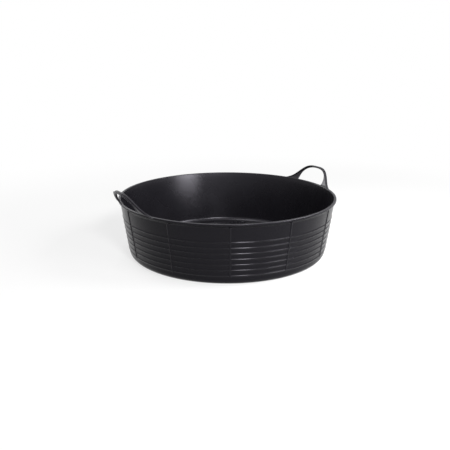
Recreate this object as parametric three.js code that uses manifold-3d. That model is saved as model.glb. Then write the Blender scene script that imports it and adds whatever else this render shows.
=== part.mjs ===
// Shallow flexible mixing tub with two loop handles. Millimetres, +Z up.
// The origin is the centre of the underside, on the ground, and the right handle lies on the X axis.
// The real tub is one moulding: its solids meet along the natural lines of that moulding.

import * as THREE from 'three';
import { mergeVertices } from 'three/addons/utils/BufferGeometryUtils.js';
import Module from 'manifold-3d';

// Bowl
const rimRadius = 290;
const tubHeight = 154.6;
const lipOverhang = 4.5;
const wallTaper = 18.9;
const wallThickness = 3;
const heelRadius = 14.8;
const roundSides = 72;
const arcSteps = 4;

// Clearance between solids that meet, and the overrun of cutting tools
const seam = 0.3;
const overrun = 5;

// Floor: a plate pressed up inside a flat standing ring, with the moulding's gate at its centre
const floorThickness = 3.5;
const floorRaise = 1.5;
const floorSeamInset = 3.6;
const standingWidth = 10;
const floorStepWidth = 3;
const gateRadius = 6;
const gateDepth = 0.8;

// Rim lip
const lipHeight = 5.5;
const lipRound = 1.8;
const lipRoundSteps = 2;

// Raised rings round the wall, counted from the ground up
const ringCount = 7;
const lowestRing = 23.8;
const ringPitch = 14.15;
const ringWidth = 3.4;
const ringCrestWidth = 1.4;
const ringDepth = 1.1;

// Upright ribs, one of them under the middle of each handle
const uprightCount = 12;
const uprightWidth = 5;
const uprightDepth = 1.6;
const uprightFoot = 19;
const uprightRoot = 1;

// Handle arch: a bell curve over the rim, by its rise, half width and steepness
const archRise = 45;
const archHalfWidth = 65.3;
const archPower = 3.3;
const archFootRise = 1;
const archStations = 32;

// Handle strap: how far its two edges stand off the rim's edge at the top of the arch
const strapOuterReach = 23.8;
const strapInnerReach = 13.8;
const strapOuterPower = 0.8;
const strapInnerPower = 0.66;
const strapThickness = 3.4;

// The strap's section from its inner to its outer edge: a rounded band, a groove and a bead.
// Across by the strap's width, and its top and underside by the strap's thickness.
const strapAcrossShares = [0, 0.08, 0.3, 0.54, 0.7, 0.88, 1];
const strapTopShares = [0.4, 0.1, 0, 0.12, 0.55, 0.38, 0.7];
const strapUnderShares = [0.8, 1, 1.05, 1.05, 1.1, 1.3, 1.15];
const strapFadeShare = 2;

// Web under the strap's outer edge, with the hand hole cut out of it
const holeHalfWidth = 52;
const holeRise = 40.2;
const holePower = 2.8;
const holeStations = 24;
const webThickness = 3.2;
const webStations = 6;
const webRows = 3;
const webTopShare = 0.85;

// The handle bends where it meets the rim, about a line along Y
const bendRadius = 12;
const bendInset = 13;
const bendSides = 64;
const bendCoverShare = 0.85;

// The left handle is the right one turned half round, and this much further towards the front
const leftHandleTurn = THREE.MathUtils.degToRad(2);

const wasm = await Module();
wasm.setup();

// Black polyethylene, a little glossier on the grips
const tubPlastic = () => new THREE.MeshStandardMaterial({ color: 0x17161a, roughness: 0.42, metalness: 0 });
const gripPlastic = () => new THREE.MeshStandardMaterial({ color: 0x1a191d, roughness: 0.36, metalness: 0 });

// A closed geometry as a solid: shared points merged, and triangles without area left out
function toSolid(geometry) {
  geometry.deleteAttribute('normal');
  geometry.deleteAttribute('uv');
  const merged = mergeVertices(geometry);
  const triangles = [];
  const index = merged.index.array;
  for (let i = 0; i < index.length; i += 3) {
    const [a, b, c] = [index[i], index[i + 1], index[i + 2]];
    if (a !== b && b !== c && c !== a) triangles.push(a, b, c);
  }
  return new wasm.Manifold(new wasm.Mesh({
    numProp: 3,
    vertProperties: merged.attributes.position.array,
    triVerts: new Uint32Array(triangles),
  }));
}

function toGeometry(solid) {
  const mesh = solid.getMesh();
  const geometry = new THREE.BufferGeometry();
  geometry.setAttribute('position', new THREE.BufferAttribute(mesh.vertProperties, 3));
  geometry.setIndex(new THREE.BufferAttribute(mesh.triVerts, 1));
  geometry.computeVertexNormals();
  return geometry;
}

// A closed profile of [radius, height] pairs, listed anticlockwise, turned round the Z axis
function revolve(profile) {
  const points = profile.map(([radius, height]) => new THREE.Vector2(radius, height));
  points.push(points[0].clone());
  return toSolid(new THREE.LatheGeometry(points, roundSides).rotateX(Math.PI / 2));
}

// Points of an arc in the profile, from one angle to another
function arc(centre, radius, from, to, steps) {
  return Array.from({ length: steps + 1 }, (_, i) => {
    const angle = from + (to - from) * i / steps;
    return [centre[0] + radius * Math.cos(angle), centre[1] + radius * Math.sin(angle)];
  });
}

// The leaning wall: its outer and inner radius at a height
const wallTop = tubHeight - lipHeight;
const wallTopRadius = rimRadius - lipOverhang;
const wallFootRadius = wallTopRadius - wallTaper;
const wallSlope = (wallTopRadius - wallFootRadius) / (wallTop - heelRadius);
const wallLean = Math.atan(wallSlope);
const outerRadiusAt = (height) => wallFootRadius + wallSlope * (height - heelRadius);
const innerRadiusAt = (height) => outerRadiusAt(height) - wallThickness / Math.cos(wallLean);

// Heel: one arc outside and one inside, each touching the ground side and the wall side
const outerHeelCentre = [outerRadiusAt(heelRadius) - heelRadius / Math.cos(wallLean), heelRadius];
const innerHeelRadius = heelRadius - wallThickness;
const innerHeelHeight = floorThickness + innerHeelRadius;
const innerHeelReach = innerRadiusAt(innerHeelHeight) - innerHeelRadius / Math.cos(wallLean);
const innerHeelCentre = [innerHeelReach, innerHeelHeight];
const floorRadius = Math.min(outerHeelCentre[0], innerHeelCentre[0]) - floorSeamInset;

function ringProfile(number) {
  const middle = lowestRing + ringPitch * number;
  const point = (height, depth) => [outerRadiusAt(height) + depth, height];
  return [
    point(middle - ringWidth / 2, 0),
    point(middle - ringCrestWidth / 2, ringDepth),
    point(middle + ringCrestWidth / 2, ringDepth),
    point(middle + ringWidth / 2, 0),
  ];
}

// One upright rib: a bar along the wall, flat on its face and cut back at its foot
function uprightRib() {
  const point = (height, depth) => new THREE.Vector2(outerRadiusAt(height) + depth, height);
  const shape = new THREE.Shape([
    point(uprightFoot, -uprightRoot),
    point(uprightFoot, 0),
    point(uprightFoot + uprightDepth, uprightDepth),
    point(wallTop, uprightDepth),
    point(wallTop, -uprightRoot),
  ]);
  const bar = new THREE.ExtrudeGeometry(shape, { depth: uprightWidth, bevelEnabled: false });
  return toSolid(bar.translate(0, 0, -uprightWidth / 2).rotateX(Math.PI / 2));
}

function wallShell() {
  const rings = Array.from({ length: ringCount }, (_, i) => ringProfile(i)).flat();
  let shell = revolve([
    [floorRadius + seam / 2, 0],
    ...arc(outerHeelCentre, heelRadius, -Math.PI / 2, -wallLean, arcSteps),
    ...rings,
    [wallTopRadius, wallTop],
    [innerRadiusAt(wallTop), wallTop],
    ...arc(innerHeelCentre, innerHeelRadius, -wallLean, -Math.PI / 2, arcSteps),
    [floorRadius + seam / 2, floorThickness],
  ]);
  const rib = uprightRib();
  for (let i = 0; i < uprightCount; i += 1) {
    shell = shell.add(rib.rotate([0, 0, 360 * i / uprightCount]));
  }
  return shell;
}

function floorPlate() {
  const edge = floorRadius - seam / 2;
  const stepOuter = edge - standingWidth;
  const stepInner = stepOuter - floorStepWidth;
  const raised = floorThickness + floorRaise;
  return revolve([
    [0, floorRaise - gateDepth],
    [gateRadius, floorRaise - gateDepth],
    [gateRadius + gateDepth, floorRaise],
    [stepInner, floorRaise],
    [stepOuter, 0],
    [edge, 0],
    [edge, floorThickness],
    [stepOuter, floorThickness],
    [stepInner, raised],
    [0, raised],
  ]);
}

function rimLip() {
  const bottom = wallTop + seam;
  const corner = (radius, height, from) =>
    arc([radius, height], lipRound, from, from + Math.PI / 2, lipRoundSteps);
  return revolve([
    [innerRadiusAt(bottom), bottom],
    ...corner(rimRadius - lipRound, bottom + lipRound, -Math.PI / 2),
    ...corner(rimRadius - lipRound, tubHeight - lipRound, 0),
    ...corner(innerRadiusAt(tubHeight) + lipRound, tubHeight - lipRound, Math.PI / 2),
  ]);
}

// Height of the arch's crest over the rim at a distance from its middle, and the distance for a height
const archHeight = (across) => archRise * Math.exp(-Math.pow(Math.abs(across) / archHalfWidth, archPower));
const acrossAt = (height) => archHalfWidth * Math.pow(Math.log(archRise / height), 1 / archPower);
const archFootHalf = acrossAt(archFootRise);
const webFootHalf = acrossAt(strapThickness);

// How far the strap's two edges stand off the rim's edge at a share of the arch's rise
const lipWidth = rimRadius - innerRadiusAt(tubHeight);
const outerStandOff = (share) => strapOuterReach * Math.pow(share, strapOuterPower);
const innerStandOff = (share) => (strapInnerReach + lipWidth) * Math.pow(share, strapInnerPower) - lipWidth;

// A point over the rim: its distance from the handle's middle, stand-off from the rim's edge and height
function overRim(across, standOff, height) {
  const angle = Math.asin(across / rimRadius);
  const radius = rimRadius + standOff;
  return new THREE.Vector3(radius * Math.cos(angle), radius * Math.sin(angle), tubHeight + height);
}

// A solid through sections of paired points, each pair one on either face
function loft(sections) {
  const pairs = sections[0].length;
  const positions = sections.flat(2).flatMap((point) => point.toArray());
  const at = (station, pair, face) => (station * pairs + pair) * 2 + face;
  const index = [];
  const quad = (a, b, c, d) => index.push(a, b, c, a, c, d);
  const last = sections.length - 1;
  for (let s = 0; s < last; s += 1) {
    for (let p = 0; p < pairs - 1; p += 1) {
      quad(at(s, p, 0), at(s, p + 1, 0), at(s + 1, p + 1, 0), at(s + 1, p, 0));
      quad(at(s, p, 1), at(s + 1, p, 1), at(s + 1, p + 1, 1), at(s, p + 1, 1));
    }
    quad(at(s, 0, 0), at(s + 1, 0, 0), at(s + 1, 0, 1), at(s, 0, 1));
    quad(at(s, pairs - 1, 0), at(s, pairs - 1, 1), at(s + 1, pairs - 1, 1), at(s + 1, pairs - 1, 0));
  }
  for (let p = 0; p < pairs - 1; p += 1) {
    quad(at(0, p, 0), at(0, p, 1), at(0, p + 1, 1), at(0, p + 1, 0));
    quad(at(last, p, 0), at(last, p + 1, 0), at(last, p + 1, 1), at(last, p, 1));
  }
  const geometry = new THREE.BufferGeometry();
  geometry.setAttribute('position', new THREE.Float32BufferAttribute(positions, 3));
  geometry.setIndex(index);
  return toSolid(geometry);
}

// How steeply the arch falls at a distance from its middle
function archTilt(across) {
  return Math.atan((archHeight(across + seam) - archHeight(across - seam)) / (2 * seam));
}

// The strap's section at one station, flattened where it runs out on the rim
function strapSection(across) {
  const height = archHeight(across);
  const inner = innerStandOff(height / archRise);
  const width = outerStandOff(height / archRise) - inner;
  const tilt = archTilt(across);
  const fade = Math.min(1, height / (strapFadeShare * strapThickness));
  const point = (v, depth) => overRim(
    across + depth * Math.sin(tilt),
    inner + width * v,
    height - depth * Math.cos(tilt),
  );
  return strapAcrossShares.map((v, i) => [
    point(v, strapThickness * strapTopShares[i] * fade),
    point(v, strapThickness * strapUnderShares[i]),
  ]);
}

const stations = (from, to, steps) =>
  Array.from({ length: steps + 1 }, (_, i) => from + (to - from) * i / steps);

// The web's stations with its lower edge at each: the hand hole's superellipse, and the rim beside it
function webEdges() {
  const hole = stations(-Math.PI / 2, Math.PI / 2, holeStations).map((turn) => [
    holeHalfWidth * Math.sign(turn) * Math.pow(Math.abs(Math.sin(turn)), 2 / holePower),
    holeRise * Math.pow(Math.cos(turn), 2 / holePower),
  ]);
  const beside = stations(holeHalfWidth, webFootHalf, webStations).slice(1).map((across) => [across, 0]);
  return [...beside.map(([across]) => [-across, 0]).reverse(), ...hole, ...beside];
}

// The web's section at one station: a plate that stands on the lip and leans out with the strap's outer edge
function webSection([across, lower]) {
  const top = archHeight(across) - webTopShare * strapThickness / Math.cos(archTilt(across));
  return stations(lower, top, webRows).map((height) => {
    const share = height / archRise;
    const [inner, outer] = [innerStandOff(share), outerStandOff(share)];
    const half = webThickness / 2;
    const middle = (inner + outer) / 2 + ((outer - inner) / 2 - half) * Math.sqrt(share);
    return [overRim(across, middle - half, height), overRim(across, middle + half, height)];
  });
}

// The whole handle over the rim's seat
function handle() {
  const strap = loft(stations(-archFootHalf, archFootHalf, archStations).map(strapSection));
  const web = loft(webEdges().map(webSection));
  const span = 2 * (archFootHalf + strapOuterReach);
  const below = new THREE.BoxGeometry(span, span, lipHeight + overrun);
  below.translate(rimRadius, 0, tubHeight + seam - (lipHeight + overrun) / 2);
  return strap.add(web).subtract(toSolid(below));
}

// Distance from the handle's middle at which the loop ends and its roots begin
const bendHalf = acrossAt(bendRadius * bendCoverShare);

// The space round the bend line that stays with the tub, wider by the given clearance
function bendSpace(clearance) {
  const radius = bendRadius + clearance;
  const round = new THREE.CylinderGeometry(radius, radius, 2 * archFootHalf, bendSides);
  round.translate(rimRadius - bendInset, 0, tubHeight);
  const length = archFootHalf + overrun - bendHalf + clearance;
  const middle = bendHalf - clearance + length / 2;
  const end = new THREE.BoxGeometry(archFootHalf, length, 2 * archRise);
  const rear = toSolid(end.clone().translate(rimRadius - bendInset, middle, tubHeight));
  const front = toSolid(end.clone().translate(rimRadius - bendInset, -middle, tubHeight));
  return toSolid(round).add(rear).add(front);
}

// One half of space, in front of or behind the handle's middle
function halfSpace(side) {
  const size = 4 * rimRadius;
  return toSolid(new THREE.BoxGeometry(size, size, size).translate(0, side * size / 2, 0));
}

const tub = new THREE.Group();

function addPiece(name, solid, material, turn = 0) {
  const mesh = new THREE.Mesh(toGeometry(solid), material);
  mesh.name = name;
  mesh.rotation.z = turn;
  tub.add(mesh);
}

addPiece('floor_plate', floorPlate(), tubPlastic());
addPiece('wall_shell', wallShell(), tubPlastic());
addPiece('rim_lip', rimLip(), tubPlastic());

// Turned half round, the right handle's rear root becomes the left handle's front root
const leftTurn = Math.PI + leftHandleTurn;
const whole = handle();
const roots = whole.intersect(bendSpace(0));
const grip = whole.subtract(bendSpace(seam));
const rearRoot = roots.intersect(halfSpace(1));
const frontRoot = roots.intersect(halfSpace(-1));
addPiece('right_handle_root_rear', rearRoot, tubPlastic());
addPiece('right_handle_root_front', frontRoot, tubPlastic());
addPiece('right_handle_grip', grip, gripPlastic());
addPiece('left_handle_root_front', rearRoot, tubPlastic(), leftTurn);
addPiece('left_handle_root_rear', frontRoot, tubPlastic(), leftTurn);
addPiece('left_handle_grip', grip, gripPlastic(), leftTurn);

export default tub;
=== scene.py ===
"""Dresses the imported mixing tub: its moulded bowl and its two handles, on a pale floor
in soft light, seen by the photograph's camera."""

import bmesh
import bpy
import math
import numpy as np
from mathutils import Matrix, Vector
from types import SimpleNamespace


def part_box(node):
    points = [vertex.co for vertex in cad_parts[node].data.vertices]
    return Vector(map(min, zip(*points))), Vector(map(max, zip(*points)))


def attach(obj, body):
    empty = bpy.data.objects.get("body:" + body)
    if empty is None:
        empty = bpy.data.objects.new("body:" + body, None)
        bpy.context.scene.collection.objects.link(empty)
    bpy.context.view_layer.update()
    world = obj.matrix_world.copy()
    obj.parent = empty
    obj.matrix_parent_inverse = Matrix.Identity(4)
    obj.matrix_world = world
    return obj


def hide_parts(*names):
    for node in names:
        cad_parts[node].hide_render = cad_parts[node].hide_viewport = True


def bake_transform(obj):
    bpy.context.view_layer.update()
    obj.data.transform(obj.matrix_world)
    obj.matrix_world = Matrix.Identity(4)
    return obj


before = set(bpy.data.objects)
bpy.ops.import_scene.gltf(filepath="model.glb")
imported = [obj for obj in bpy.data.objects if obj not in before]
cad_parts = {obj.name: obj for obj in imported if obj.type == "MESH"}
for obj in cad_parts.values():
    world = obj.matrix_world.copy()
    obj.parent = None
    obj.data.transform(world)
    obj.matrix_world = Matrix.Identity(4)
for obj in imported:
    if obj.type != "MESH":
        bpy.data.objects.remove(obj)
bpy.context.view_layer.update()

MM = 0.001
MERGE_DISTANCE = 1e-6
ROUND_RIDGE_POWER = 0.75

# Sizes taken from the frame
_, lip_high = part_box("rim_lip")
_, wall_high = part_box("wall_shell")
_, grip_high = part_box("right_handle_grip")
RIM_RADIUS = lip_high[1]
RIM_TOP = lip_high[2]
LIP_BOTTOM = wall_high[2]
ARCH_RISE = grip_high[2] - RIM_TOP
STRAP_OUTER_REACH = grip_high[0] - RIM_RADIUS

# Bowl: heel, wall, floor with its standing ring and gate mark, and lip
WALL_TOP_RADIUS = 285.5 * MM
WALL_FOOT_RADIUS = 266.6 * MM
WALL_THICKNESS = 3 * MM
INNER_WALL_TOP = RIM_TOP - 5 * MM
INNER_WALL_FOOT = 20 * MM
HEEL_RADIUS = 14.8 * MM
FLOOR_THICKNESS = 3.5 * MM
FLOOR_RAISE = 1.5 * MM
FLOOR_STEP = 4 * MM
FLOOR_SEAM_INSET = 3.6 * MM
STANDING_WIDTH = 10 * MM
GATE_RADIUS = 6 * MM
GATE_DEPTH = 0.8 * MM
LIP_ROUND = 1.8 * MM
UNDER_LIP_ROUND = 1 * MM
LIP_WORN_HEIGHT = 3 * MM
FLAT_GAP = 1 * MM

# Raised rings round the wall, and the heights of the points across and between them
RING_COUNT = 7
LOWEST_RING = 23.8 * MM
RING_PITCH = 14.15 * MM
RING_WIDTH = 3.7 * MM
RING_DEPTH = 1.2 * MM
RING_BLUNT = 0.3 * MM
RING_HEIGHTS = LOWEST_RING + RING_PITCH * np.arange(RING_COUNT)
RING_STEPS = 13
BETWEEN_RINGS = np.array([0.32, 0.5, 0.68])
PLAIN_BAND_START = 0.3
PLAIN_BAND_GAP = 0.4 * MM
PLAIN_BAND_STEPS = 8
ABOVE_HEEL = 17 * MM

# Upright ribs, and the angles of the points across and between them
UPRIGHT_COUNT = 12
UPRIGHT_WIDTH = 4.6 * MM
UPRIGHT_DEPTH = 1.6 * MM
UPRIGHT_BLUNT = 0.4 * MM
UPRIGHT_FOOT = 19 * MM
UPRIGHT_RUN_OUT = 2 * MM
UPRIGHT_MARGIN = 0.68
UPRIGHT_STEPS = 11
PANEL_STEPS = 24
SECTOR = 2 * np.pi / UPRIGHT_COUNT

# A face of the bowl is inside where its normal points this far inward or upward
INWARD_LEAST = 0.05
UPWARD_LEAST = 0.5

# Handles: the arch and its stations
ARCH_HALF_WIDTH = 65.3 * MM
ARCH_POWER = 3.3
ARCH_END = 103 * MM
ARCH_SLOPE_STEP = 0.1 * MM
HALF_STATIONS = 76
STATION_POWER = 0.9
END_SINK = 1.3 * MM
END_SINK_START = 84 * MM
LEFT_HANDLE_TURN = math.radians(182)

# Strap over the arch; places on it are shares of its width, from the inner edge
STRAP_INNER_REACH = 13.8 * MM
STRAP_OUTER_POWER = 0.8
STRAP_INNER_POWER = 0.66
STRAP_THICKNESS = 3.4 * MM
STRAP_FORM_HEIGHT = 2 * STRAP_THICKNESS
STRAP_CROWN = 0.4 * MM
CROWN_PLACE = 0.3
CROWN_REACH = 0.3
CROWN_END = 0.8
STRAP_FALL = 1.3 * MM
FALL_START = 0.45
FALL_END = 0.85
GROOVE_PLACE = 0.7
GROOVE_WIDTH = 2.6 * MM
GROOVE_DEPTH = 1.5 * MM
GROOVE_UNWORN = 1.6 * MM

# Web under the strap's outer edge, with the hand hole and the bead along it
HOLE_HALF_WIDTH = 52 * MM
HOLE_RISE = 38.8 * MM
HOLE_POWER = 2.4
HOLE_BEAD = 1.3 * MM
BEAD_WIDTH = 3.6 * MM
BEAD_INSET = 1.4 * MM
BEAD_RUN_OUT = 5 * MM
WEB_THICKNESS = 3.2 * MM
WEB_FOOT = -1.5 * MM
WEB_FLARE = 1.4 * MM
WEB_FLARE_HEIGHT = 1.6 * MM
WEB_LEAST_DROP = 0.02 * MM
WEB_FADE_START = 88 * MM
WEB_FADE_END = 100 * MM

# Points round the strap's edges, across its top, under it, down the web and round the web's end
EDGE_STEPS = 7
TOP_STEPS = 24
UNDER_STEPS = 6
WEB_STEPS = 15
WEB_END_STEPS = 11

# Finishes: colour, sheen, roughness, and the moulded grain's scale and depth
SHEEN_TINT = (0.93, 0.9, 1.0, 1)
OUTSIDE_FINISH = (0.0032, 0.0030, 0.0039), 0.13, 0.25, 900, 0.05 * MM
# The inside is a copy of the outside plastic with a paler colour and a higher sheen: its paler
# colour is painted light that lightens the shaded inside of the bowl, and its higher sheen gives
# the inner face a glossier surface.
INSIDE_LIGHTENED_FINISH = (0.0055, 0.0052, 0.0066), 0.27, 0.27, 700, 0.06 * MM
GRIP_FINISH = (0.0060, 0.0056, 0.0070), 0.26, 0.28, 700, 0.12 * MM

# Wear: soft patches, rubbed crests, the dull lip, waviness, scuffs and grain
PATCH_SCALE, PATCH_DETAIL = 11, 5
PATCH_PALER = 1.5
PATCH_ROUGHNESS = 0.06
RUBBED_FROM = 0.5
RUBBED_PALER = 1.7
DULLED_FROM = 0.85
DULLED_ROUGHNESS = 0.22
WAVE_SCALE, WAVE_DETAIL, WAVE_DEPTH, WAVE_STRENGTH = 16, 1, 1.0 * MM, 0.2
SCUFF_SCALE, SCUFF_DETAIL, SCUFF_DEPTH, SCUFF_STRENGTH = 240, 6, 0.03 * MM, 0.4
SCUFF_FROM, SCUFF_FULL = 0.56, 0.72
GRAIN_DETAIL, GRAIN_STRENGTH = 2, 0.5

# Camera: the photograph's, by its place round the tub, height, tilt and lens
CAMERA_AZIMUTH = -31.3
CAMERA_DISTANCE = 1456.4 * MM
CAMERA_HEIGHT = 508.7 * MM
CAMERA_TILT = 16.91
CAMERA_YAW = 0.24
CAMERA_LENS = 44.32
CAMERA_SENSOR = 36

# Floor and surround; a strength of 1 is white
WORLD_LIGHT = 0.08
SURROUND_WHITE = 1
FLOOR_PAINT = 0.9
FLOOR_ROUGHNESS = 0.8
FLOOR_DROP = 0.2 * MM
FLOOR_RADII = np.array([0.001, 0.5, 1.2, 3, 8, 20])
FLOOR_SIDES = 96
FLOOR_NEAR_WHITE = 0.7
FLOOR_FADE_START = 0.45
FLOOR_FADE_END = 1.6

# Lamps: name, place and aim (azimuth, distance and height), width and height, and power
LAMPS = (
    ("top", (-75, 0.45, 1.8), (0, 0, 0.1), (0.5, 0.5), 8),
    ("key", (17, 2.2, 1.3), (0, 0, 0.1), (0.4, 0.3), 41),
    ("window", (51, 2.2, 0.45), (0, 0, 0.1), (0.9, 0.65), 36),
    ("side", (78, 1.0, 0.85), (68, 0.42, 0), (0.6, 0.5), 17),
    ("back", (-142, 2.0, 1.1), (0, 0, 0.1), (1.0, 0.8), 13),
)


# Shapes

def smooth(x, low, high):
    """Smooth step of x from 0 at low to 1 at high: 3t^2 - 2t^3 of its clipped share t."""
    t = np.clip((x - low) / (high - low), 0, 1)
    return t * t * (3 - 2 * t)


def round_ridge(x, width):
    """A round ridge: a raised cosine to a power below 1, which is 1 at x = 0 and 0 from half the
    width on."""
    wave = (0.5 + 0.5 * np.cos(2 * np.pi * x / width)) ** ROUND_RIDGE_POWER
    return np.where(np.abs(x) < width / 2, wave, 0.0)


def flat_ridge(x, width, blunt):
    """A ridge with two flat flanks: 1 - 2|x| / width, never below 0, with |x| rounded off over
    the blunt distance by the square root of x^2 + blunt^2."""
    reach = np.sqrt(x ** 2 + blunt ** 2)
    return np.maximum(1 - 2 * (reach - blunt) / width, 0)


def mesh_object(name, points, faces):
    """A mesh object at the origin, from an array of points and one of quads."""
    mesh = bpy.data.meshes.new(name)
    mesh.from_pydata(points.reshape(-1, 3).tolist(), [], faces.reshape(-1, 4).tolist())
    mesh.update()
    piece = bpy.data.objects.new(name, mesh)
    bpy.context.collection.objects.link(piece)
    return piece


def round_grid_faces(rows, columns):
    """Quads between neighbouring points of a rows by columns grid, closed round its columns."""
    row, column = np.meshgrid(np.arange(rows - 1), np.arange(columns), indexing="ij")
    beside = (column + 1) % columns
    near, far = row * columns, (row + 1) * columns
    return np.stack([near + column, near + beside, far + beside, far + column], -1)


def keep_wear(piece, wear):
    """Stores how much each point is rubbed, from 0 to 1, for the material to read."""
    layer = piece.data.attributes.new("wear", "FLOAT", "POINT")
    layer.data.foreach_set("value", np.asarray(wear, np.float32).ravel())


def clean(piece):
    """Merges points that coincide, drops faces without area, turns all faces outwards and shades
    the piece smooth."""
    work = bmesh.new()
    work.from_mesh(piece.data)
    bmesh.ops.remove_doubles(work, verts=work.verts, dist=MERGE_DISTANCE)
    bmesh.ops.dissolve_degenerate(work, edges=work.edges, dist=MERGE_DISTANCE)
    bmesh.ops.recalc_face_normals(work, faces=work.faces)
    work.to_mesh(piece.data)
    work.free()
    piece.data.polygons.foreach_set("use_smooth", np.ones(len(piece.data.polygons), bool))
    return piece


# Bowl

WALL_SLOPE = (WALL_TOP_RADIUS - WALL_FOOT_RADIUS) / (LIP_BOTTOM - HEEL_RADIUS)
WALL_LEAN = math.atan(WALL_SLOPE)


def outer_radius(height):
    """The wall's outside: a straight line from its foot over the heel to its top."""
    return WALL_FOOT_RADIUS + WALL_SLOPE * (height - HEEL_RADIUS)


def inner_radius(height):
    """The wall's inside: the outside less the thickness, measured square to the leaning wall."""
    return outer_radius(height) - WALL_THICKNESS / math.cos(WALL_LEAN)


LIP_WIDTH = RIM_RADIUS - inner_radius(RIM_TOP)


def arc_points(radius_centre, height_centre, radius, start, end, count):
    """Points on an arc of the profile from one angle in degrees to another, as (radius, height)
    rows: the centre plus the arc's radius times cosine and sine."""
    angle = np.radians(np.linspace(start, end, count))
    across, up = radius * np.cos(angle), radius * np.sin(angle)
    return np.stack([radius_centre + across, height_centre + up], -1)


def wall_heights():
    """Heights up the outer wall, close together across each raised ring and far apart between."""
    across = np.linspace(-0.5, 0.5, RING_STEPS) * (RING_WIDTH + 2 * RING_BLUNT)
    rings = (RING_HEIGHTS[:, None] + across[None, :]).ravel()
    between = (RING_HEIGHTS[:-1, None] + RING_PITCH * BETWEEN_RINGS[None, :]).ravel()
    band_start = RING_HEIGHTS[-1] + RING_PITCH * PLAIN_BAND_START
    band = np.linspace(band_start, LIP_BOTTOM - PLAIN_BAND_GAP, PLAIN_BAND_STEPS)
    foot = [HEEL_RADIUS, ABOVE_HEEL, UPRIGHT_FOOT]
    return np.unique(np.concatenate([rings, between, band, foot]))


def bowl_profile():
    """The bowl's closed section as (radius, height) rows, with a flag that is 1 on the outer wall.
    It runs from the middle of the underside out over the standing ring, up the heel and wall, over
    the lip, and down inside to the middle of the floor. Flats are straight, the floor's steps are
    half a cosine, and all else is arcs. The last number of each stretch is its count of points."""
    lean = math.degrees(WALL_LEAN)
    heel_centre = outer_radius(HEEL_RADIUS) - HEEL_RADIUS / math.cos(WALL_LEAN)
    inner_heel = HEEL_RADIUS - WALL_THICKNESS
    inner_height = FLOOR_THICKNESS + inner_heel
    inner_centre = inner_radius(inner_height) - inner_heel / math.cos(WALL_LEAN)
    ring_edge = min(heel_centre, inner_centre) - FLOOR_SEAM_INSET
    step_out = ring_edge - STANDING_WIDTH
    step_in = step_out - FLOOR_STEP
    middle_edge = step_in - 2 * FLAT_GAP
    ring_inner, heel_edge = step_out + FLAT_GAP, inner_centre - FLAT_GAP
    raised = FLOOR_THICKNESS + FLOOR_RAISE
    gate = FLOOR_RAISE - GATE_DEPTH
    lip_out, lip_in = RIM_RADIUS - LIP_ROUND, inner_radius(RIM_TOP) + LIP_ROUND
    lip_foot, lip_top = LIP_BOTTOM + LIP_ROUND, RIM_TOP - LIP_ROUND
    corner = outer_radius(LIP_BOTTOM) + UNDER_LIP_ROUND, LIP_BOTTOM - UNDER_LIP_ROUND
    inside_top = [inner_radius(INNER_WALL_TOP), INNER_WALL_TOP]
    inside_foot = [inner_radius(INNER_WALL_FOOT), INNER_WALL_FOOT]
    heights = wall_heights()
    step = np.linspace(0, 1, 7)
    step_radius = step_in + (step_out - step_in) * step
    rise = 0.5 + 0.5 * np.cos(np.pi * step)
    under_step = np.stack([step_radius, FLOOR_RAISE * rise], -1)
    over_step = np.stack([step_radius, FLOOR_THICKNESS + FLOOR_RAISE * rise], -1)[::-1]
    parts = [
        (np.linspace([0, gate], [GATE_RADIUS, gate], 4), 0),
        (np.linspace([GATE_RADIUS + GATE_DEPTH, FLOOR_RAISE], [middle_edge, FLOOR_RAISE], 12), 0),
        (under_step, 0),
        (np.linspace([ring_inner, 0], [heel_centre - FLAT_GAP, 0], 5), 0),
        (arc_points(heel_centre, HEEL_RADIUS, HEEL_RADIUS, -90, -lean, 14), 0),
        (np.stack([outer_radius(heights), heights], -1), 1),
        (arc_points(*corner, UNDER_LIP_ROUND, 180, 90, 4), 0),
        (arc_points(lip_out, lip_foot, LIP_ROUND, -90, 0, 7), 0),
        (arc_points(lip_out, lip_top, LIP_ROUND, 0, 90, 8), 0),
        (arc_points(lip_in, lip_top, LIP_ROUND, 90, 180, 8), 0),
        (np.linspace(inside_top, inside_foot, 14), 0),
        (arc_points(inner_centre, inner_height, inner_heel, -lean, -90, 12), 0),
        (np.linspace([heel_edge, FLOOR_THICKNESS], [ring_inner, FLOOR_THICKNESS], 4), 0),
        (over_step, 0),
        (np.linspace([middle_edge, raised], [0, raised], 14), 0),
    ]
    points = np.concatenate([part for part, _ in parts])
    outer = np.concatenate([np.full(len(part), flag, float) for part, flag in parts])
    return points, outer


def bowl_angles():
    """Angles round the bowl, close together across each upright rib and even between."""
    half = UPRIGHT_MARGIN * UPRIGHT_WIDTH / WALL_FOOT_RADIUS
    rib = np.linspace(-half, half, UPRIGHT_STEPS)
    panel = np.linspace(half, SECTOR - half, PANEL_STEPS)[1:-1]
    one = np.concatenate([rib, panel])
    return (np.arange(UPRIGHT_COUNT)[:, None] * SECTOR + one[None, :]).ravel()


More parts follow.
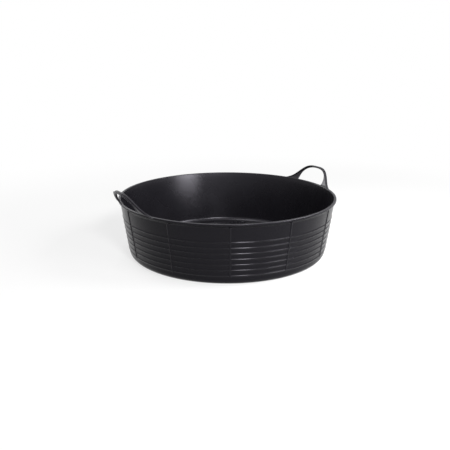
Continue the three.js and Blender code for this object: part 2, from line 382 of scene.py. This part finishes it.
def make_bowl():
    """The bowl: radius and height from the profile, turned round Z. On the outer wall the radius
    grows by the raised rings, a ridge in height, or by the upright ribs, a ridge in the arc length
    from each rib, whichever is larger. Crests and the lip's top are marked as worn."""
    profile, outer = bowl_profile()
    angles = bowl_angles()
    radius, height = profile[:, 0][:, None], profile[:, 1][:, None]
    nearest = RING_HEIGHTS[np.argmin(np.abs(height - RING_HEIGHTS[None, :]), axis=1)][:, None]
    ring = RING_DEPTH * flat_ridge(height - nearest, RING_WIDTH, RING_BLUNT)
    off_rib = (angles + SECTOR / 2) % SECTOR - SECTOR / 2
    rib = UPRIGHT_DEPTH * flat_ridge(off_rib[None, :] * radius, UPRIGHT_WIDTH, UPRIGHT_BLUNT)
    rib = rib * smooth(height, UPRIGHT_FOOT, UPRIGHT_FOOT + UPRIGHT_RUN_OUT)
    raised = outer[:, None] * np.maximum(ring, rib)
    worn = raised / UPRIGHT_DEPTH + smooth(height, RIM_TOP - LIP_WORN_HEIGHT, RIM_TOP)
    radius = radius + raised
    height = np.broadcast_to(height, radius.shape)
    points = np.stack([radius * np.cos(angles), radius * np.sin(angles), height], -1)
    bowl = mesh_object("tub_bowl", points, round_grid_faces(len(profile), len(angles)))
    keep_wear(bowl, np.clip(worn, 0, 1))
    return clean(bowl)


# Handles

def arch_height(across):
    """The crest's height over the rim: a bell curve of the distance from the handle's middle."""
    return ARCH_RISE * np.exp(-np.abs(across / ARCH_HALF_WIDTH) ** ARCH_POWER)


def outer_stand_off(share):
    """How far the strap's outer edge stands off the rim: its reach times a power of the share of
    the arch's rise."""
    return STRAP_OUTER_REACH * share ** STRAP_OUTER_POWER


def inner_stand_off(share):
    """How far the strap's inner edge stands off the rim: from the lip's inner edge at the foot it
    goes out by the whole way to its reach times a power of the share."""
    return (STRAP_INNER_REACH + LIP_WIDTH) * share ** STRAP_INNER_POWER - LIP_WIDTH


def web_stand_off(height):
    """The web's middle: over the lip's middle at its foot, and flush with the strap's outer edge
    at the top, by the square root of the share of the arch's rise."""
    share = np.clip(height / ARCH_RISE, 0, 1)
    inner, outer = inner_stand_off(share), outer_stand_off(share)
    return (inner + outer) / 2 + ((outer - inner) / 2 - WEB_THICKNESS / 2) * np.sqrt(share)


def over_rim(across, stand_off, height):
    """Points by distance from the handle's middle, stand-off from the rim's edge and height over
    the rim: turned round Z by the angle whose sine is the distance over the rim's radius."""
    angle = np.arcsin(across / RIM_RADIUS)
    radius = RIM_RADIUS + stand_off
    return np.stack([radius * np.cos(angle), radius * np.sin(angle), RIM_TOP + height], -1)


def arch_stations():
    """The strap's stations along the arch, as columns: the distance from the handle's middle, the
    height, the inner stand-off and width, the tilt along the arch, how far the ends sink into the
    lip, how much of the top's form there is, and the half thickness at both edges."""
    half_across = ARCH_END * np.linspace(0, 1, HALF_STATIONS) ** STATION_POWER
    across = np.concatenate([-half_across[:0:-1], half_across])[:, None]
    height = arch_height(across)
    share = height / ARCH_RISE
    inner, outer = inner_stand_off(share), outer_stand_off(share)
    step = ARCH_SLOPE_STEP
    slope = (arch_height(across + step) - arch_height(across - step)) / (2 * step)
    form = np.clip(height / STRAP_FORM_HEIGHT, 0, 1)
    return SimpleNamespace(
        across=across,
        height=height,
        inner=inner,
        width=outer - inner,
        tilt=np.arctan(slope),
        sink=END_SINK * smooth(np.abs(across), END_SINK_START, ARCH_END),
        form=form,
        inner_edge=np.full_like(across, STRAP_THICKNESS / 2),
        outer_edge=(STRAP_THICKNESS - STRAP_FALL * form) / 2,
    )


def edge_rounding(from_edge, radius):
    """How far a quarter circle falls away from the flat at each distance from the edge."""
    return radius * (1 - np.sqrt(1 - np.clip(1 - from_edge / radius, 0, 1) ** 2))


def under_arch(arch, depth):
    """Distance from the middle and height of the places a depth below the crest, square to it."""
    return arch.across + depth * np.sin(arch.tilt), arch.height - depth * np.cos(arch.tilt)


def strap_points(arch, place, top):
    """Points at places across the strap, on its top or its underside. Below the crest lie the
    rounding of both edges and, on the top, a fall of the outer side by a smooth step, a groove
    with a round section and a crown that is a parabola."""
    rounding_in = edge_rounding(place * arch.width, arch.inner_edge)
    rounding_out = edge_rounding((1 - place) * arch.width, arch.outer_edge)
    if top:
        fall = STRAP_FALL * smooth(place, FALL_START, FALL_END)
        groove = GROOVE_DEPTH * round_ridge((place - GROOVE_PLACE) * arch.width, GROOVE_WIDTH)
        crown = STRAP_CROWN * np.minimum(((place - CROWN_PLACE) / CROWN_REACH) ** 2, 1)
        crown = crown * smooth(place, 1, CROWN_END)
        depth = (fall + groove + crown) * arch.form + rounding_in + rounding_out
    else:
        depth = STRAP_THICKNESS - rounding_in - rounding_out
    across, height = under_arch(arch, depth + arch.sink)
    return across, arch.inner + arch.width * place, height


def web_points(arch, root_across, root_height):
    """Points down the web's outside, round its end and up its inside. At each station the web runs
    from its root under the strap along a ray to the hole's middle, as far as the hole's
    superellipse, and ends in a half circle. It thickens at the foot by an exponential, and
    outside it carries a round bead along the hole."""
    half = WEB_THICKNESS / 2
    ray = np.hypot(root_across, root_height - WEB_FOOT)
    toward_across = -root_across / ray
    toward_height = (WEB_FOOT - root_height) / ray
    hole = (
        np.abs(toward_across / HOLE_HALF_WIDTH) ** HOLE_POWER
        + np.abs(toward_height / (HOLE_RISE - WEB_FOOT)) ** HOLE_POWER
    ) ** (-1 / HOLE_POWER)
    there = 1 - smooth(np.abs(arch.across), WEB_FADE_START, WEB_FADE_END)
    drop = np.maximum(ray - hole, WEB_LEAST_DROP) * there
    end_round = np.minimum(half, drop / 2)
    swing = np.linspace(0, np.pi, WEB_END_STEPS)[None, 1:-1]
    down = (drop - end_round) * np.linspace(0, 1, WEB_STEPS)[None, 1:]
    beyond = drop - end_round + end_round * np.sin(swing)
    run = np.concatenate([down, beyond, down[:, ::-1]], 1)
    outside = np.ones(down.shape[1])
    side = np.concatenate([outside, np.cos(swing)[0], -outside])[None, :]
    across = root_across + toward_across * run
    height = root_height + toward_height * run
    flare = WEB_FLARE * np.exp(-np.maximum(height, 0) / WEB_FLARE_HEIGHT)
    bead = HOLE_BEAD * round_ridge(drop - run - BEAD_INSET, BEAD_WIDTH)
    bead = bead * (side > 0.5) * smooth(height, 0, BEAD_RUN_OUT)
    return across, web_stand_off(height) + side * (half + flare) + bead, height


def make_handle():
    """One handle's points, wear and faces: a section carried along the arch and closed at both
    ends inside the lip. The section goes over the strap, round its outer edge to the web, down and
    up the web, and back under the strap to its inner edge."""
    arch = arch_stations()
    root_across, root_height = under_arch(arch, STRAP_THICKNESS + arch.sink)
    root_height = np.maximum(root_height, WEB_FOOT)
    root_middle = web_stand_off(root_height)
    half = WEB_THICKNESS / 2

    turn = 1 - np.cos(np.linspace(0, np.pi / 2, EDGE_STEPS))[None, :]
    inner_edge = arch.inner_edge * turn / arch.width
    outer_edge = 1 - arch.outer_edge * turn / arch.width
    inner_flat, outer_flat = inner_edge[:, -1:], outer_edge[:, -1:]
    web_out = np.minimum((root_middle + half - arch.inner) / arch.width, outer_flat)
    web_in = np.maximum((root_middle - half - arch.inner) / arch.width, inner_flat)

    flat = np.linspace(0, 1, TOP_STEPS)[None, 1:-1]
    under = np.linspace(0, 1, UNDER_STEPS)[None, :]
    top = np.concatenate(
        [inner_edge, inner_flat + (outer_flat - inner_flat) * flat, outer_edge[:, ::-1]], 1
    )
    under_out = np.concatenate(
        [outer_edge[:, 1:], outer_flat + (web_out - outer_flat) * under[:, 1:]], 1
    )
    under_in = np.concatenate(
        [web_in + (inner_flat - web_in) * under[:, :-1], inner_edge[:, :0:-1]], 1
    )
    stretches = (
        strap_points(arch, top, True),
        strap_points(arch, under_out, False),
        web_points(arch, root_across, root_height),
        strap_points(arch, under_in, False),
    )
    section = over_rim(*(np.concatenate(part, axis=1) for part in zip(*stretches)))
    first, last = (
        np.broadcast_to(end.mean(0), end.shape)[None] for end in (section[0], section[-1])
    )
    section = np.concatenate([first, section, last])
    wear = np.zeros(section.shape[:2])
    from_groove = np.abs(top - GROOVE_PLACE) * arch.width
    wear[1:-1, :top.shape[1]] = smooth(from_groove, 0, GROOVE_UNWORN)
    return section, wear, round_grid_faces(*section.shape[:2])


# Finish

def plastic(name, colour, sheen, roughness, grain_scale, grain_depth):
    """Black moulded polyethylene. Colour and roughness drift in soft patches, rubbed crests are a
    little paler and the most worn ones duller, and the surface carries a broad slight waviness,
    fine scuffs and the moulded grain, each a bump by noise in the piece's own coordinates."""
    material = bpy.data.materials.new(name)
    material.use_nodes = True
    nodes, links = material.node_tree.nodes, material.node_tree.links
    shader = nodes["Principled BSDF"]
    shader.inputs["Specular IOR Level"].default_value = sheen
    shader.inputs["Specular Tint"].default_value = SHEEN_TINT
    place = nodes.new("ShaderNodeTexCoord")
    wear = nodes.new("ShaderNodeAttribute")
    wear.attribute_name = "wear"

    def noise(scale, detail):
        """Soft noise from 0 to 1 over the piece."""
        node = nodes.new("ShaderNodeTexNoise")
        node.inputs["Scale"].default_value = scale
        node.inputs["Detail"].default_value = detail
        links.new(place.outputs["Object"], node.inputs["Vector"])
        return node.outputs["Fac"]

    def mixed(factor, first, second):
        """A colour that goes from the first to the second by the factor."""
        node = nodes.new("ShaderNodeMix")
        node.data_type = "RGBA"
        links.new(factor, node.inputs["Factor"])
        for socket, value in (("A", first), ("B", second)):
            if isinstance(value, tuple):
                node.inputs[socket].default_value = (*value, 1)
            else:
                links.new(value, node.inputs[socket])
        return node.outputs["Result"]

    def ranged(value, low, high, from_low=0, from_high=1):
        """The value's range from_low to from_high, clipped and brought to low to high."""
        node = nodes.new("ShaderNodeMapRange")
        links.new(value, node.inputs["Value"])
        ends = {"From Min": from_low, "From Max": from_high, "To Min": low, "To Max": high}
        for socket, end in ends.items():
            node.inputs[socket].default_value = end
        return node.outputs["Result"]

    def added(first, second):
        """The sum of two values."""
        node = nodes.new("ShaderNodeMath")
        links.new(first, node.inputs[0])
        links.new(second, node.inputs[1])
        return node.outputs[0]

    def bumped(value, depth, strength, under=None):
        """A bump by the value, over the bump under it."""
        node = nodes.new("ShaderNodeBump")
        node.inputs["Distance"].default_value = depth
        node.inputs["Strength"].default_value = strength
        links.new(value, node.inputs["Height"])
        if under:
            links.new(under, node.inputs["Normal"])
        return node.outputs["Normal"]

    worn = wear.outputs["Fac"]
    patches = noise(PATCH_SCALE, PATCH_DETAIL)
    body = mixed(patches, colour, tuple(PATCH_PALER * c for c in colour))
    rubbed = ranged(worn, 0, 1, RUBBED_FROM, 1)
    body = mixed(rubbed, body, tuple(RUBBED_PALER * c for c in colour))
    links.new(body, shader.inputs["Base Color"])

    drift = ranged(patches, roughness - PATCH_ROUGHNESS, roughness + PATCH_ROUGHNESS)
    dull = added(drift, ranged(worn, 0, DULLED_ROUGHNESS, DULLED_FROM, 1))
    links.new(dull, shader.inputs["Roughness"])

    waves = bumped(noise(WAVE_SCALE, WAVE_DETAIL), WAVE_DEPTH, WAVE_STRENGTH)
    scuffs = ranged(noise(SCUFF_SCALE, SCUFF_DETAIL), 0, 1, SCUFF_FROM, SCUFF_FULL)
    scuffed = bumped(scuffs, SCUFF_DEPTH, SCUFF_STRENGTH, waves)
    grained = bumped(noise(grain_scale, GRAIN_DETAIL), grain_depth, GRAIN_STRENGTH, scuffed)
    links.new(grained, shader.inputs["Normal"])
    return material


def set_materials(piece, *materials):
    """Gives the piece these materials in place of any it has."""
    piece.data.materials.clear()
    for material in materials:
        piece.data.materials.append(material)


def lighten_inside(bowl):
    """Gives the bowl's second material, the copy whose paler colour is painted light on the shaded
    inside, to the faces inside it: those whose outward component, the normal times the place in
    plan, is well below 0, and those that look up."""
    faces = bowl.data.polygons
    centre, normal = np.empty((2, len(faces), 3))
    faces.foreach_get("center", centre.reshape(-1))
    faces.foreach_get("normal", normal.reshape(-1))
    outward = (centre[:, :2] * normal[:, :2]).sum(1)
    inside = (outward < -INWARD_LEAST * RIM_RADIUS) | (normal[:, 2] > UPWARD_LEAST)
    faces.foreach_set("material_index", inside.astype(np.int32))


def dress_bowl():
    """The whole bowl in one piece, over the CAD's floor, wall and lip."""
    bowl = make_bowl()
    outside = plastic("tub_plastic", *OUTSIDE_FINISH)
    # The inside faces get the paler copy of the plastic, whose paler colour is painted light on
    # the shaded inside of the bowl.
    set_materials(bowl, outside, plastic("tub_inside_lightened_plastic", *INSIDE_LIGHTENED_FINISH))
    lighten_inside(bowl)
    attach(bowl, "tub")
    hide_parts("floor_plate", "wall_shell", "rim_lip")


def dress_handles():
    """Both handles from one shape turned round Z."""
    section, wear, faces = make_handle()
    material = plastic("grip_plastic", *GRIP_FINISH)
    for side, turn in (("right", 0), ("left", LEFT_HANDLE_TURN)):
        cos, sin = math.cos(turn), math.sin(turn)
        points = section @ np.array([[cos, sin, 0], [-sin, cos, 0], [0, 0, 1]])
        piece = mesh_object(f"{side}_handle_moulding", points, faces)
        keep_wear(piece, wear)
        set_materials(clean(piece), material)
        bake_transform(piece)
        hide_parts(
            f"{side}_handle_grip", f"{side}_handle_root_front", f"{side}_handle_root_rear"
        )


# Studio

def around(azimuth, distance, height):
    """A place round the tub: azimuth 0 is the camera's side and grows anticlockwise, seen from
    above."""
    angle = math.radians(azimuth - 90 + CAMERA_AZIMUTH)
    return (distance * math.cos(angle), distance * math.sin(angle), height)


def add_camera():
    """The camera of the photograph."""
    data = bpy.data.cameras.new("camera")
    data.lens, data.sensor_width = CAMERA_LENS, CAMERA_SENSOR
    camera = bpy.data.objects.new("camera", data)
    bpy.context.collection.objects.link(camera)
    camera.location = around(0, CAMERA_DISTANCE, CAMERA_HEIGHT)
    tilt, turn = math.radians(90 - CAMERA_TILT), math.radians(CAMERA_AZIMUTH + CAMERA_YAW)
    camera.rotation_euler = (tilt, 0, turn)
    bpy.context.scene.camera = camera


def add_lamp(name, place, aim, size, power):
    """A soft rectangular lamp at a place round the tub, turned towards where it is aimed."""
    data = bpy.data.lights.new(name, "AREA")
    data.shape, data.energy = "RECTANGLE", power
    data.size, data.size_y = size
    lamp = bpy.data.objects.new(name, data)
    bpy.context.collection.objects.link(lamp)
    lamp.location = around(*place)
    toward = Vector(around(*aim)) - Vector(around(*place))
    lamp.rotation_euler = toward.to_track_quat("-Z", "Y").to_euler()


def seen_rays(nodes, links):
    """1 on the rays by which a thing is seen directly, mirrored or through glass, and 0 on those
    that light."""
    path = nodes.new("ShaderNodeLightPath")
    seen = path.outputs["Is Camera Ray"]
    for name in ("Is Glossy Ray", "Is Transmission Ray"):
        either = nodes.new("ShaderNodeMath")
        either.operation = "MAXIMUM"
        links.new(seen, either.inputs[0])
        links.new(path.outputs[name], either.inputs[1])
        seen = either.outputs[0]
    return seen


def floor_paint():
    """Pale paint that keeps the tub's shadow near it and fades to the white surround further off:
    on the rays that see it, the share of white grows by a smooth step of the distance from the
    tub's middle."""
    material = bpy.data.materials.new("floor_paint")
    material.use_nodes = True
    nodes, links = material.node_tree.nodes, material.node_tree.links
    shader = nodes["Principled BSDF"]
    shader.inputs["Base Color"].default_value = (FLOOR_PAINT, FLOOR_PAINT, FLOOR_PAINT, 1)
    shader.inputs["Roughness"].default_value = FLOOR_ROUGHNESS
    shader.inputs["Specular IOR Level"].default_value = 0
    surround = nodes.new("ShaderNodeEmission")
    surround.inputs["Strength"].default_value = SURROUND_WHITE
    place = nodes.new("ShaderNodeTexCoord")
    distance = nodes.new("ShaderNodeVectorMath")
    distance.operation = "LENGTH"
    links.new(place.outputs["Object"], distance.inputs[0])
    fade = nodes.new("ShaderNodeMapRange")
    fade.interpolation_type = "SMOOTHSTEP"
    fade.inputs["From Min"].default_value = FLOOR_FADE_START
    fade.inputs["From Max"].default_value = FLOOR_FADE_END
    fade.inputs["To Min"].default_value = FLOOR_NEAR_WHITE
    links.new(distance.outputs["Value"], fade.inputs["Value"])
    white = nodes.new("ShaderNodeMath")
    white.operation = "MULTIPLY"
    links.new(fade.outputs["Result"], white.inputs[0])
    links.new(seen_rays(nodes, links), white.inputs[1])
    both = nodes.new("ShaderNodeMixShader")
    links.new(white.outputs[0], both.inputs["Fac"])
    links.new(shader.outputs["BSDF"], both.inputs[1])
    links.new(surround.outputs["Emission"], both.inputs[2])
    links.new(both.outputs["Shader"], nodes["Material Output"].inputs["Surface"])
    return material


def add_floor():
    """A wide round floor just under the tub, in rings of quads."""
    angle = -np.linspace(0, 2 * np.pi, FLOOR_SIDES + 1)[:-1]
    x, y = FLOOR_RADII[:, None] * np.cos(angle), FLOOR_RADII[:, None] * np.sin(angle)
    points = np.stack([x, y, np.full_like(x, -FLOOR_DROP)], -1)
    floor = mesh_object("studio_floor", points, round_grid_faces(len(FLOOR_RADII), FLOOR_SIDES))
    set_materials(floor, floor_paint())


def light_world():
    """A white surround for what is seen directly or mirrored, and a plain soft light for the
    rest."""
    world = bpy.data.worlds.new("studio")
    bpy.context.scene.world = world
    world.use_nodes = True
    nodes, links = world.node_tree.nodes, world.node_tree.links
    background = nodes["Background"]
    background.inputs["Color"].default_value = (1, 1, 1, 1)
    strength = nodes.new("ShaderNodeMapRange")
    strength.inputs["To Min"].default_value = WORLD_LIGHT
    strength.inputs["To Max"].default_value = SURROUND_WHITE
    links.new(seen_rays(nodes, links), strength.inputs["Value"])
    links.new(strength.outputs["Result"], background.inputs["Strength"])


dress_bowl()
dress_handles()
add_camera()
add_floor()
light_world()
for lamp in LAMPS:
    add_lamp(*lamp)

bpy.context.scene.view_settings.view_transform = "Standard"
